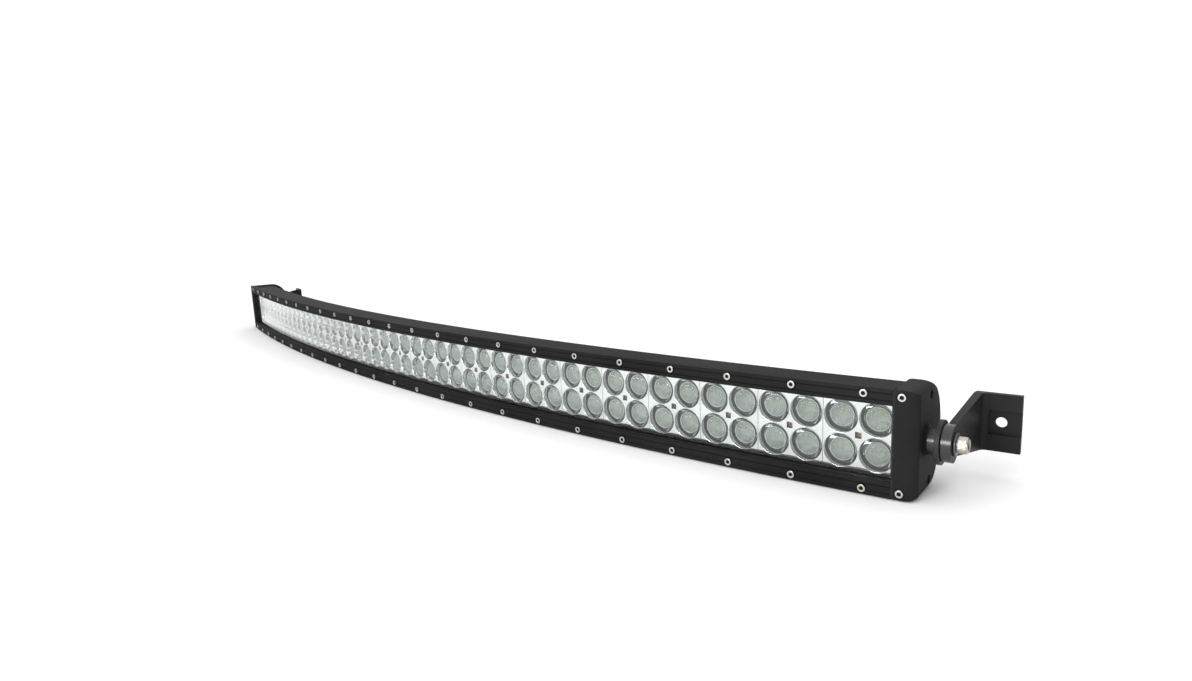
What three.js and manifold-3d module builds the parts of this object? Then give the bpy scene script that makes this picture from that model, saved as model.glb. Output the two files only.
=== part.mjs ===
// Curved dual-row LED light bar on two swivel brackets.
// Millimetres, +Z up. X runs along the bar, the lamp faces -Y, and it stands on its flat underside.
//
// The bar follows an arc seen from above. Its pieces are first made straight, with X as the length
// along the arc, Y as the depth behind the front face and Z as the height, and then bent or placed.
// An end frame sits on each end of the extrusion: T points out along the bar and D backwards.

import * as THREE from 'three';
import { mergeVertices } from 'three/addons/utils/BufferGeometryUtils.js';
import Module from 'manifold-3d';

const wasm = await Module();
wasm.setup();

// ---- Bar ----
const ARC_RADIUS = 3160;          // of the front face, seen from above
const BAR_HALF = 613;             // half length of the extrusion, bezels and lens
const ARC_STEPS = 24;
const GAP = 0.3;                  // between pieces that touch
const HALF_HEIGHT = 38.1;         // bezels and end caps: the bar is 76.2 high
const WELD = 1e-4;

// ---- Bezels: two grooved strips that clamp the lens ----
const BEZEL_DEPTH = 9;
const BEZEL_INNER = 26.5;         // lit opening's half height
const CHANNEL = { low: 30.3, high: 35.6, depth: 0.8 };
const LIP = { inner: 1.8, outer: 0.4, groove: 1.4 };
const EDGE = 0.8;                 // small chamfers

// ---- Lens and its gasket ----
const LENS = { front: 6, back: 9, half: 30.6 };
const LENS_REBATE = 31;
const GASKET = { front: 9.3, back: 10.3, inner: 27.9, outer: 30.9, end: 3 };

// ---- Housing extrusion ----
const HOUSING_HALF = 36;
const HOUSING_FRONT = 9.3;
const SEAT = { depth: 10.6, half: 31.2 };
const CAVITY = { half: 27.6, floor: 29.2 };
const VALLEY = 33.2;              // back of the wall that carries the fins
const FINS = { count: 9, pitch: 8.7, thick: 2.4, centre: 36, reach: 24, half: 36.05 };
const CHAMBER = { half: 7.5, front: 33.2, back: 45, wall: 2.5 };

// ---- Light engine ----
const MODULES = 24;
const MODULE_PITCH = 51.05;
const REFLECTOR = { front: 11, back: 27, width: 50.2, half: 25.6 };
const CUP = { offset: 12.7, mouth: 12.2, throat: 5, sides: 8 };
const CENTRE_HOLE = 4.6;
const BOARD = { front: 27.3, back: 28.9, half: 25, count: 4, gap: 0.6 };
const DRIVER = { start: 45, length: 204, front: 34.2, back: 35.8, half: 6.6 };
const DRIVER_BLOCKS = [[62, 22, 5.2], [104, 12, 4], [140, 30, 5.6], [196, 18, 4.6], [228, 10, 3.4]];

// ---- End caps, measured outwards from the end of the extrusion ----
const CAP = { inner: 1.4, outer: 17, centre: 36, reach: 26 };
const CAP_ARC_SEGMENTS = 6;
const CAP_LAYERS = [
  { out: CAP.inner, inset: 0 }, { out: 8, inset: 0 }, { out: 12.5, inset: 0.8 },
  { out: 15.5, inset: 1.9 }, { out: CAP.outer, inset: 3.2 },
];
const CAP_GASKET = { inner: 0.3, outer: 1.1, inset: 1, band: 3.5 };
const POCKET = { front: 13, back: 40, half: 28, floor: 12.4 };
const SCREW_HEAD = { radius: 2.8, length: 3, socket: 1.5, socketDepth: 1.6 };
const SCREW_SHANK = 1.5;
const CORNER_SCREW = { out: 5.6, height: 33.4, length: 11 };
const SIDE_SCREW = { depth: 30, height: 30.5, length: 19 };

// ---- Pivots ----
const PIVOT_DEPTH = 23;
const BOSS = { radius: 9.5, out: 24, inner: 9 };
const SPACER = { from: 24.3, to: 27.5, radius: 15.4 };
const HUB = { from: 27.8, to: 34.4, radius: 12.9 };
const WASHER = { from: 34.7, to: 36, radius: 8 };
const BOLT_HEAD = { radius: 5.7, length: 6.8, socket: 3, socketDepth: 4 };
const BOLT = { from: 36.3, end: 2, radius: 4 };
const NUT = { from: 2.4, to: 8.7, radius: 7.5 };
const BOLT_CLEARANCE = 4.3;

// ---- Bracket, in the same end frame ----
const LEG = { inner: 28.3, thick: 5.4, straight: 34, lean: 4.7 };
const LEG_END = { radius: 12.4, reach: 29 };
const FLARE_END = 84;
const FOOT = { front: 86.5, back: 91, out: 64.2, half: 21.3, fillet: 4 };
const FOOT_CHANNEL = { from: 43, half: 9, depth: 2.6 };
const FOOT_HOLE = { out: 50.9, radius: 3.8 };

// ---- Cable gland and breather on the back ----
const GLAND = { at: 0, hole: 6.5, thread: 6.2, from: 42, hex: 8.5, shoulder: 52.5, neck: 5.6, neckEnd: 57 };
const GLAND_NUT = { from: 52.8, to: 63, inner: 5.9, exit: 3.7, lip: 59.5 };
const GLAND_SEAL = { from: 53.4, to: 59.2, outer: 4.6, bore: 3.3 };
const VENT = { at: -60, hole: 4.3, thread: 4, from: 43, cap: 7.4, to: 52.5 };
const SPOT_FACE = { radius: 12, from: 47.2, to: 75 };

// ---- Finishes ----
function finish(color, roughness, metalness) {
  return { color, roughness, metalness };
}
const BLACK_ALLOY = finish(0x2c2c2d, 0.55, 0.4);
const BLACK_PLASTIC = finish(0x1c1c1e, 0.5, 0);
const CHROME = finish(0xd8dcdd, 0.12, 1);
const CLEAR = finish(0xdfe8e6, 0.05, 0);
const BOARD_WHITE = finish(0xe9e9e4, 0.5, 0.1);
const BOARD_GREEN = finish(0x2f6a44, 0.5, 0.1);
const RUBBER = finish(0x161616, 0.9, 0);
const STAINLESS = finish(0xc9c8c2, 0.28, 1);

// ---- Solids ----
function toSolid(geometry) {
  const bare = geometry.clone();
  bare.deleteAttribute('normal');
  bare.deleteAttribute('uv');
  const merged = mergeVertices(bare, WELD);
  return new wasm.Manifold(new wasm.Mesh({
    numProp: 3,
    vertProperties: new Float32Array(merged.attributes.position.array),
    triVerts: new Uint32Array(merged.index.array),
  }));
}

function toGeometry(solid) {
  const mesh = solid.getMesh();
  const geometry = new THREE.BufferGeometry();
  geometry.setAttribute('position', new THREE.BufferAttribute(new Float32Array(mesh.vertProperties), 3));
  geometry.setIndex(new THREE.BufferAttribute(new Uint32Array(mesh.triVerts), 1));
  geometry.computeVertexNormals();
  return geometry;
}

function join(first, ...others) {
  return others.reduce((sum, other) => sum.add(toSolid(other)), toSolid(first));
}

function cut(solid, ...tools) {
  return tools.reduce((rest, tool) => rest.subtract(toSolid(tool)), solid);
}

// ---- Outlines and simple shapes ----
function outline(points) {
  return new THREE.Shape(points.map(([a, b]) => new THREE.Vector2(a, b)));
}

function rectangle(a0, a1, b0, b1) {
  return outline([[a0, b0], [a1, b0], [a1, b1], [a0, b1]]);
}

function upsideDown(points) {
  return points.map(([depth, height]) => [depth, -height]);
}

// A (depth, height) outline swept along X.
function sweep(shape, from, to, steps = 1, curveSegments = 6) {
  const geometry = new THREE.ExtrudeGeometry(shape, {
    depth: to - from, steps, curveSegments, bevelEnabled: false,
  });
  const alongX = new THREE.Matrix4().makeBasis(
    new THREE.Vector3(0, 1, 0), new THREE.Vector3(0, 0, 1), new THREE.Vector3(1, 0, 0),
  );
  return geometry.applyMatrix4(alongX).translate(from, 0, 0);
}

// Bends a straight piece onto the bar's arc.
function bend(geometry) {
  const position = geometry.attributes.position;
  for (let i = 0; i < position.count; i += 1) {
    const angle = position.getX(i) / ARC_RADIUS;
    const radius = ARC_RADIUS - position.getY(i);
    position.setX(i, radius * Math.sin(angle));
    position.setY(i, ARC_RADIUS - radius * Math.cos(angle));
  }
  return geometry;
}

function bentSweep(shape, from = -BAR_HALF, to = BAR_HALF) {
  const step = (2 * BAR_HALF) / ARC_STEPS;
  return bend(sweep(shape, from, to, Math.max(1, Math.round((to - from) / step))));
}

// Places a piece made around the arc's middle at a distance along the arc.
function placeAlong(object, distance) {
  const angle = distance / ARC_RADIUS;
  object.position.set(ARC_RADIUS * Math.sin(angle), ARC_RADIUS * (1 - Math.cos(angle)), 0);
  object.rotation.z = angle;
  return object;
}

function moveAlong(geometry, distance) {
  const angle = distance / ARC_RADIUS;
  return geometry.rotateZ(angle)
    .translate(ARC_RADIUS * Math.sin(angle), ARC_RADIUS * (1 - Math.cos(angle)), 0);
}

function box(x0, x1, y0, y1, z0, z1) {
  return new THREE.BoxGeometry(x1 - x0, y1 - y0, z1 - z0)
    .translate((x0 + x1) / 2, (y0 + y1) / 2, (z0 + z1) / 2);
}

function rodX(radius, x0, x1, depth, height, sides = 16) {
  return new THREE.CylinderGeometry(radius, radius, x1 - x0, sides)
    .rotateZ(-Math.PI / 2).translate((x0 + x1) / 2, depth, height);
}

function rodY(radius, y0, y1, x, height, sides = 16) {
  return new THREE.CylinderGeometry(radius, radius, y1 - y0, sides)
    .translate(x, (y0 + y1) / 2, height);
}

function coneY(frontRadius, backRadius, y0, y1, x, height, sides) {
  return new THREE.CylinderGeometry(backRadius, frontRadius, y1 - y0, sides)
    .rotateY(Math.PI / sides).translate(x, (y0 + y1) / 2, height);
}

function ringX(outer, inner, x0, x1, sides = 16) {
  return cut(
    toSolid(rodX(outer, x0, x1, PIVOT_DEPTH, 0, sides)),
    rodX(inner, x0 - 1, x1 + 1, PIVOT_DEPTH, 0),
  );
}

// A turned piece on the Y axis; its outline runs from axis to axis, or closes on itself.
function turned(points, sides) {
  return new THREE.LatheGeometry(points.map(([r, y]) => new THREE.Vector2(r, y)), sides);
}

// A socket-head screw on the Y axis, its head's underside at 0 and its head towards +Y.
function socketScrew(head, shank, length, sides = 12) {
  const body = turned([
    [0, -length], [shank, -length], [shank, 0],
    [head.radius, 0], [head.radius, head.length], [0, head.length],
  ], sides);
  const recess = new THREE.CylinderGeometry(head.socket, head.socket, 2 * head.socketDepth, 6)
    .translate(0, head.length, 0);
  return toGeometry(cut(toSolid(body), recess));
}

// ---- Housing: a finned channel with a driver chamber behind the light engine ----
function finTip(height) {
  return FINS.centre + FINS.reach * Math.sqrt(1 - (height / FINS.half) ** 2);
}

// The chamber closes off the two valleys beside the middle fin.
function valleyBelow(fin) {
  return fin === 0 || fin === 1 ? CHAMBER.back + CHAMBER.wall : VALLEY;
}

function housingOutline() {
  const front = [
    [CAVITY.floor, CAVITY.half], [SEAT.depth, CAVITY.half], [SEAT.depth, SEAT.half],
    [HOUSING_FRONT, SEAT.half], [HOUSING_FRONT, HOUSING_HALF],
  ];
  const highest = (FINS.count - 1) / 2;
  const fins = [];
  for (let fin = highest; fin >= -highest; fin -= 1) {
    const top = fin * FINS.pitch + FINS.thick / 2;
    const bottom = top - FINS.thick;
    const tip = finTip(Math.max(Math.abs(top), Math.abs(bottom)));
    fins.push([valleyBelow(fin + 1), top], [tip, top], [tip, bottom], [valleyBelow(fin), bottom]);
  }
  const back = fins.slice(1, -1);
  const shape = outline([...front, ...back, ...upsideDown(front).reverse()]);
  shape.holes.push(rectangle(CHAMBER.front, CHAMBER.back, -CHAMBER.half, CHAMBER.half));
  return shape;
}

function sideScrewPorts(side) {
  const ends = side > 0 ? [-6, 1] : [-1, 6];
  return [SIDE_SCREW.height, -SIDE_SCREW.height].map((height) => moveAlong(
    rodX(SCREW_SHANK + GAP, ...ends, SIDE_SCREW.depth, height, 8), side * BAR_HALF,
  ));
}

function spotFace(hole, distance) {
  return [
    moveAlong(rodY(SPOT_FACE.radius, SPOT_FACE.from, SPOT_FACE.to, 0, 0), distance),
    moveAlong(rodY(hole, CHAMBER.back - 1, SPOT_FACE.to, 0, 0), distance),
  ];
}

function makeHousing() {
  return cut(
    toSolid(bentSweep(housingOutline())),
    ...sideScrewPorts(1), ...sideScrewPorts(-1),
    ...spotFace(GLAND.hole, GLAND.at), ...spotFace(VENT.hole, VENT.at),
  );
}

// ---- Front: bezels, lens and gasket ----
function bezelPoints() {
  const { low, high, depth } = CHANNEL;
  const ease = EDGE / 2;
  return [
    [LIP.inner, BEZEL_INNER], [LIP.outer, low - EDGE], [LIP.groove, low], [depth, low + ease],
    [depth, high - ease], [0, high], [0, HALF_HEIGHT - EDGE], [EDGE, HALF_HEIGHT],
    [BEZEL_DEPTH, HALF_HEIGHT], [BEZEL_DEPTH, LENS_REBATE], [LENS.front - GAP, LENS_REBATE],
    [LENS.front - GAP, BEZEL_INNER],
  ];
}

function makeGasket() {
  const { front, back, inner, outer, end } = GASKET;
  const inset = EDGE / 8;
  const strips = [
    bentSweep(rectangle(front, back, inner, outer)), bentSweep(rectangle(front, back, -outer, -inner)),
  ];
  const across = [front + inset, back - inset, -(inner + outer) / 2, (inner + outer) / 2];
  const ends = [
    moveAlong(box(-end, -inset, ...across), BAR_HALF),
    moveAlong(box(inset, end, ...across), -BAR_HALF),
  ];
  return join(...strips, ...ends);
}

// ---- Light engine: reflector modules, boards and driver ----
function makeReflector() {
  const { front, back, width, half } = REFLECTOR;
  const block = toSolid(box(-width / 2, width / 2, front, back, -half, half));
  const cups = [];
  for (const x of [-CUP.offset, CUP.offset]) {
    for (const z of [-CUP.offset, CUP.offset]) {
      cups.push(coneY(CUP.mouth, CUP.throat, front, back + 1, x, z, CUP.sides));
    }
  }
  const reach = CENTRE_HOLE / 2;
  return cut(block, ...cups, box(-reach, reach, front - 1, back + 1, -reach, reach));
}

function makeBoard(index) {
  const span = (MODULES / BOARD.count) * MODULE_PITCH;
  const start = (index - BOARD.count / 2) * span + BOARD.gap / 2;
  return bentSweep(
    rectangle(BOARD.front, BOARD.back, -BOARD.half, BOARD.half), start, start + span - BOARD.gap,
  );
}

function makeDriver() {
  const { start, length, front, back, half } = DRIVER;
  const board = bentSweep(rectangle(front, back, -half, half), start, start + length);
  const blocks = DRIVER_BLOCKS.map(([from, size, height]) => moveAlong(
    box(-size / 2, size / 2, back - 1, back + height, 1 - half, half - 1), from + size / 2,
  ));
  return join(board, ...blocks);
}

// ---- End caps ----
function capOutline(inset) {
  const half = HALF_HEIGHT - inset;
  const shape = new THREE.Shape();
  shape.moveTo(inset, EDGE - half);
  shape.lineTo(inset, half - EDGE);
  shape.lineTo(inset + EDGE, half);
  shape.absellipse(CAP.centre, 0, CAP.reach - inset, half, Math.PI / 2, -Math.PI / 2, true);
  shape.lineTo(inset + EDGE, -half);
  return shape;
}

// The outline swept out from the bar, drawn in towards its middle over the last few millimetres.
function capBlank() {
  const middle = (CAP.centre + CAP.reach) / 2;
  const geometry = sweep(capOutline(0), 0, CAP_LAYERS.length - 1, CAP_LAYERS.length - 1);
  const position = geometry.attributes.position;
  for (let i = 0; i < position.count; i += 1) {
    const { out, inset } = CAP_LAYERS[Math.round(position.getX(i))];
    position.setX(i, out);
    position.setY(i, middle + (position.getY(i) - middle) * (1 - inset / middle));
    position.setZ(i, position.getZ(i) * (1 - inset / HALF_HEIGHT));
  }
  return toSolid(geometry);
}

function makeCap() {
  const pocket = cut(
    toSolid(box(CAP.inner - 1, POCKET.floor, POCKET.front, POCKET.back, -POCKET.half, POCKET.half)),
    rodX(BOSS.radius, BOSS.inner, POCKET.floor + 1, PIVOT_DEPTH, 0),
  );
  const bossed = capBlank()
    .add(toSolid(rodX(BOSS.radius, POCKET.floor + 1, BOSS.out, PIVOT_DEPTH, 0, 20)))
    .subtract(pocket);
  const headHole = SCREW_HEAD.radius + GAP;
  const shankHole = SCREW_SHANK + GAP;
  const seat = SCREW_HEAD.length + GAP;
  const sideTools = [SIDE_SCREW.height, -SIDE_SCREW.height].flatMap((height) => [
    rodX(headHole, CAP.outer - seat, CAP.outer + 1, SIDE_SCREW.depth, height, 12),
    rodX(shankHole, CAP.inner - 1, CAP.outer, SIDE_SCREW.depth, height, 8),
  ]);
  const cornerTools = [CORNER_SCREW.height, -CORNER_SCREW.height].flatMap((height) => [
    rodY(headHole, -1, seat, CORNER_SCREW.out, height, 12),
    rodY(shankHole, 0, seat + CORNER_SCREW.length, CORNER_SCREW.out, height, 8),
  ]);
  const boltHole = rodX(BOLT_CLEARANCE, 0, BOSS.out + 1, PIVOT_DEPTH, 0);
  return cut(bossed, ...sideTools, ...cornerTools, boltHole);
}

function makeCapGasket() {
  const shape = capOutline(CAP_GASKET.inset);
  const opening = capOutline(CAP_GASKET.inset + CAP_GASKET.band).getPoints(CAP_ARC_SEGMENTS);
  shape.holes.push(new THREE.Path(opening.reverse()));
  return sweep(shape, CAP_GASKET.inner, CAP_GASKET.outer, 1, CAP_ARC_SEGMENTS);
}

function makeCornerScrew(height) {
  return socketScrew(SCREW_HEAD, SCREW_SHANK, CORNER_SCREW.length)
    .rotateX(Math.PI).translate(CORNER_SCREW.out, SCREW_HEAD.length, height);
}

function makeSideScrew(height) {
  return socketScrew(SCREW_HEAD, SCREW_SHANK, SIDE_SCREW.length)
    .rotateZ(-Math.PI / 2).translate(CAP.outer - SCREW_HEAD.length, SIDE_SCREW.depth, height);
}

// ---- Pivot hardware ----
function makeBolt() {
  return socketScrew(BOLT_HEAD, BOLT.radius, BOLT.from - BOLT.end, 16)
    .rotateZ(-Math.PI / 2).translate(BOLT.from, PIVOT_DEPTH, 0);
}

function makeNut() {
  return ringX(NUT.radius, BOLT_CLEARANCE, NUT.from, NUT.to, 6);
}

// ---- Bracket ----
// Seen from above: the leg leans outwards to the foot, which turns away from the bar.
function legOutline() {
  const lean = LEG.inner + LEG.lean;
  const front = PIVOT_DEPTH - LEG_END.radius;
  return outline([
    [LEG.inner, front], [LEG.inner + LEG.thick, front], [LEG.inner + LEG.thick, LEG.straight],
    [lean + LEG.thick, FOOT.front - FOOT.fillet], [lean + LEG.thick + FOOT.fillet, FOOT.front],
    [FOOT.out, FOOT.front], [FOOT.out, FOOT.back], [lean, FOOT.back], [LEG.inner, LEG.straight],
  ]);
}

// Seen along the pivot: a round end that widens straight to the foot's full height.
function flareOutline() {
  const rise = Math.sqrt(LEG_END.radius ** 2 - (LEG_END.reach - PIVOT_DEPTH) ** 2);
  const turn = Math.atan2(rise, LEG_END.reach - PIVOT_DEPTH);
  const past = FOOT.back + 1;
  const shape = new THREE.Shape();
  shape.moveTo(past, -FOOT.half);
  shape.lineTo(past, FOOT.half);
  shape.lineTo(FLARE_END, FOOT.half);
  shape.lineTo(LEG_END.reach, rise);
  shape.absarc(PIVOT_DEPTH, 0, LEG_END.radius, turn, 2 * Math.PI - turn, false);
  shape.lineTo(FLARE_END, -FOOT.half);
  return shape;
}

function makeBracket() {
  const plan = new THREE.ExtrudeGeometry(legOutline(), { depth: 2 * FOOT.half + 2, bevelEnabled: false })
    .translate(0, 0, -FOOT.half - 1);
  const flare = toSolid(sweep(flareOutline(), LEG.inner - 5, FOOT.out + 5, 1, 5));
  const channel = box(FOOT_CHANNEL.from, FOOT.out + 1, 0, FOOT.front + FOOT_CHANNEL.depth,
    -FOOT_CHANNEL.half, FOOT_CHANNEL.half);
  const solid = toSolid(plan).intersect(flare)
    .add(toSolid(rodX(HUB.radius, HUB.from, HUB.to, PIVOT_DEPTH, 0, 24)));
  return cut(
    solid, channel,
    rodX(BOLT_CLEARANCE, HUB.from - 1, HUB.to + 1, PIVOT_DEPTH, 0),
    rodY(FOOT_HOLE.radius, FOOT.front - 1, FOOT.back + 1, FOOT_HOLE.out, 0),
  );
}

// ---- Cable gland and breather ----
function makeGlandBody() {
  const { thread, from, hex, shoulder, neck, neckEnd } = GLAND;
  const flange = CHAMBER.back + CHAMBER.wall;
  const rod = join(rodY(thread, from, flange + 1, 0, 0), rodY(neck, shoulder - 1, neckEnd, 0, 0));
  return cut(
    rod.add(toSolid(rodY(hex, flange, shoulder, 0, 0, 6))),
    rodY(GLAND_NUT.exit, from - 1, neckEnd, 0, 0),
    rodY(GLAND_SEAL.outer + GAP, GLAND_SEAL.from - GAP, neckEnd + 1, 0, 0),
  );
}

function makeGlandNut() {
  const { from, to, inner, exit, lip } = GLAND_NUT;
  return cut(
    toSolid(rodY(GLAND.hex, from, to, 0, 0, 6)),
    rodY(inner, from - 1, lip, 0, 0), rodY(exit, lip - 1, to + 1, 0, 0),
  );
}

function makeGlandSeal() {
  const { from, to, outer, bore } = GLAND_SEAL;
  return cut(toSolid(rodY(outer, from, to, 0, 0)), rodY(bore, from - 1, to + 1, 0, 0));
}

function makeVent() {
  const seat = CHAMBER.back + CHAMBER.wall;
  return turned([
    [0, VENT.from], [VENT.thread, VENT.from], [VENT.thread, seat], [VENT.cap, seat],
    [VENT.cap, VENT.to - 1.5], [VENT.cap - 1.5, VENT.to], [0, VENT.to],
  ], 16);
}

// ---- Assembly ----
const lamp = new THREE.Group();

function addNode(parent, name, shape, look) {
  const geometry = shape.isBufferGeometry ? shape : toGeometry(shape);
  const mesh = new THREE.Mesh(geometry, new THREE.MeshStandardMaterial(look));
  mesh.name = name;
  parent.add(mesh);
  return mesh;
}

// The left end's pieces mirror the right end's.
function mirrorGeometry(geometry) {
  const copy = geometry.index ? geometry.toNonIndexed() : geometry.clone();
  copy.scale(-1, 1, 1);
  const { array } = copy.attributes.position;
  for (let i = 0; i < array.length; i += 9) {
    for (let k = 0; k < 3; k += 1) {
      [array[i + 3 + k], array[i + 6 + k]] = [array[i + 6 + k], array[i + 3 + k]];
    }
  }
  copy.computeVertexNormals();
  return copy;
}

const rightEnd = placeAlong(new THREE.Group(), BAR_HALF);
const leftEnd = placeAlong(new THREE.Group(), -BAR_HALF);
lamp.add(rightEnd, leftEnd);

function addPair(name, shape, look) {
  const geometry = shape.isBufferGeometry ? shape : toGeometry(shape);
  addNode(rightEnd, `right_${name}`, geometry, look);
  addNode(leftEnd, `left_${name}`, mirrorGeometry(geometry), look);
}

addNode(lamp, 'housing', makeHousing(), BLACK_ALLOY);
addNode(lamp, 'top_bezel', bentSweep(outline(bezelPoints())), BLACK_ALLOY);
addNode(lamp, 'bottom_bezel', bentSweep(outline(upsideDown(bezelPoints()))), BLACK_ALLOY);
addNode(lamp, 'lens_cover', bentSweep(rectangle(LENS.front, LENS.back, -LENS.half, LENS.half)), CLEAR);
addNode(lamp, 'lens_gasket', makeGasket(), RUBBER);

const reflector = toGeometry(makeReflector());
for (let i = 0; i < MODULES; i += 1) {
  const label = String(i + 1).padStart(2, '0');
  const mesh = addNode(lamp, `reflector_${label}`, reflector, CHROME);
  placeAlong(mesh, (i - (MODULES - 1) / 2) * MODULE_PITCH);
}
for (let i = 0; i < BOARD.count; i += 1) {
  addNode(lamp, `led_board_${i + 1}`, makeBoard(i), BOARD_WHITE);
}
addNode(lamp, 'driver_board', makeDriver(), BOARD_GREEN);

addPair('end_cap', makeCap(), BLACK_ALLOY);
addPair('cap_gasket', makeCapGasket(), RUBBER);
addPair('upper_corner_screw', makeCornerScrew(CORNER_SCREW.height), STAINLESS);
addPair('lower_corner_screw', makeCornerScrew(-CORNER_SCREW.height), STAINLESS);
addPair('upper_side_screw', makeSideScrew(SIDE_SCREW.height), STAINLESS);
addPair('lower_side_screw', makeSideScrew(-SIDE_SCREW.height), STAINLESS);
addPair('pivot_bolt', makeBolt(), STAINLESS);
addPair('pivot_nut', makeNut(), STAINLESS);
addPair('pivot_spacer', ringX(SPACER.radius, BOLT_CLEARANCE, SPACER.from, SPACER.to), BLACK_PLASTIC);
addPair('pivot_washer', ringX(WASHER.radius, BOLT_CLEARANCE, WASHER.from, WASHER.to), STAINLESS);
addPair('bracket', makeBracket(), BLACK_ALLOY);

addNode(lamp, 'cable_gland_body', makeGlandBody(), BLACK_PLASTIC);
addNode(lamp, 'cable_gland_seal', makeGlandSeal(), RUBBER);
addNode(lamp, 'cable_gland_nut', makeGlandNut(), BLACK_PLASTIC);
placeAlong(addNode(lamp, 'breather_vent', makeVent(), BLACK_PLASTIC), VENT.at);

// The origin is the middle of the underside of the whole part.
const extent = new THREE.Box3().setFromObject(lamp, true);
lamp.position.set(
  -(extent.min.x + extent.max.x) / 2, -(extent.min.y + extent.max.y) / 2, -extent.min.z,
);

const lightBar = new THREE.Group();
lightBar.add(lamp);

export default lightBar;
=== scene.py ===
"""Looks for a curved dual-row LED light bar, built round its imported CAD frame.

Sizes named here are millimetres in the part's own directions: along the bar, in depth behind its
front face, and in height from its middle. Each mesh is modelled in millimetres and then placed in
the frame, in metres. At an end of the bar, "out" points away along the bar and depth points back.
"""

import math

import bmesh
import bpy
from mathutils import Matrix, Vector


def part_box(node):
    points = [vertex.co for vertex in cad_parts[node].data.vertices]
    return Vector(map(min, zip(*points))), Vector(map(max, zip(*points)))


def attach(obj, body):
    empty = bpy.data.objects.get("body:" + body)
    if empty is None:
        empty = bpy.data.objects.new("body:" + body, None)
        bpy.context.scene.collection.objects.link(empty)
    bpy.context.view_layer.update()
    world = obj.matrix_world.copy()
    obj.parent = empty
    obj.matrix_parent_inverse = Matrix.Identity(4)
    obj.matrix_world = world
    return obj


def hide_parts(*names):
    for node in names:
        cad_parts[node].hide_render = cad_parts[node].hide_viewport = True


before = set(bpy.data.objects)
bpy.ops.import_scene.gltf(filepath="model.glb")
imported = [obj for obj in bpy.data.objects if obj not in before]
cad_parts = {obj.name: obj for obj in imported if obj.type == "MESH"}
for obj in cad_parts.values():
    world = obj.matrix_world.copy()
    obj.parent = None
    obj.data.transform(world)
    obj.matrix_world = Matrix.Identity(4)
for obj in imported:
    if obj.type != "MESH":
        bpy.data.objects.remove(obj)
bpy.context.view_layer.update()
scene = bpy.context.scene

# ---- Driving sizes ----
MM = 0.001
ARC_RADIUS = 3160  # of the front face, seen from above
BAR_HALF = 613  # half length of the extrusion, bezels and cover
BAR_STEPS = 120
HALF_HEIGHT = 38.1
GAP = 0.3

BEZEL_INNER = 26.5
BEZEL_DEPTH = 9
CHANNEL_LOW, CHANNEL_HIGH, CHANNEL_DEPTH = 30.3, 35.6, 0.8
COVER_FRONT, COVER_BACK, COVER_HALF = 6, 9, 30.6
COVER_REBATE = 31

SCREW_COUNT = 24  # along each bezel
SCREW_PITCH = 51.6
SCREW_HEIGHT = 33.8
SCREW_HEAD = 2.8
SCREW_SEAT = 3.4  # radius of the counterbore round each head
SCREW_SEAT_DEPTH = 2.3
SCREW_STAND = 0.35  # how far a bezel screw's head stands proud of the rim
SCREW_SOCKET, SCREW_SOCKET_DEPTH = 1.35, 1.6

MODULE_COUNT = 24
MODULE_PITCH = 51.05
MODULE_HALF_WIDTH = 25.25
MODULE_HALF_HEIGHT = 26.2
MODULE_FRONT, MODULE_BACK = 11, 27
CUP_OFFSET = 12.65
CUP_MOUTH, CUP_THROAT = 12.25, 4.6
CUP_SEGMENTS, CUP_RINGS = 40, 9
CUP_LIP = 0.25
POCKET_HALF = 2.3
POCKET_FLOOR, POCKET_FLOOR_BACK = 13.6, 15.5
MODULE_SCREW_SINK = 2.2

OPTIC_RIM, OPTIC_TOP, OPTIC_BACK = 14.2, 12.1, 25
OPTIC_RADIUS, OPTIC_COLLAR, OPTIC_STEM = 8.7, 2.6, 4.2
BOARD_FRONT = 27.3

PIVOT_DEPTH = 23

# ---- The frame's own places ----
top_low, top_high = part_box("top_bezel")
bottom_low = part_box("bottom_bezel")[0]
BAR_MIDDLE = Vector((0, top_low.y, (bottom_low.z + top_high.z) / 2))
TO_METRES = Matrix.Translation(BAR_MIDDLE) @ Matrix.Scale(MM, 4)


def along(distance):
    """Where a piece made round the bar's middle goes, at a distance along the arc."""
    angle = distance / ARC_RADIUS
    spot = Vector((math.sin(angle), 1 - math.cos(angle), 0)) * ARC_RADIUS
    return Matrix.Translation(spot) @ Matrix.Rotation(angle, 4, "Z")


def end_place(side):
    """Where a piece made in the right end's directions goes. The left end mirrors it."""
    return Matrix.Diagonal((side, 1, 1, 1)) @ along(BAR_HALF)


def on_arc(distance, depth, height):
    """A point at a distance along the arc, behind the front face by its depth."""
    angle = distance / ARC_RADIUS
    radius = ARC_RADIUS - depth
    return Vector((radius * math.sin(angle), ARC_RADIUS - radius * math.cos(angle), height))


ENDS = {"right": 1, "left": -1}
OUTWARDS = Matrix.Rotation(-math.pi / 2, 4, "Z")  # turns a piece on the depth axis to point out
AT_PIVOT = Matrix.Translation((0, PIVOT_DEPTH, 0)) @ OUTWARDS
HERE = Matrix.Identity(4)


# ---- Mesh building ----
WELD = 0.002  # points nearer than this become one before edges are rounded
FLAT_ANGLE = 0.5  # degrees between faces that are merged into one
SHARP_ANGLE = 28  # degrees from which an edge is rounded


def skin(bm, loops):
    """Quads between loops of points, from each loop to the next."""
    faces = []
    for first, second in zip(loops, loops[1:]):
        for i, vertex in enumerate(first):
            j = (i + 1) % len(first)
            faces.append(bm.faces.new((vertex, first[j], second[j], second[i])))
    return faces


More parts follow.
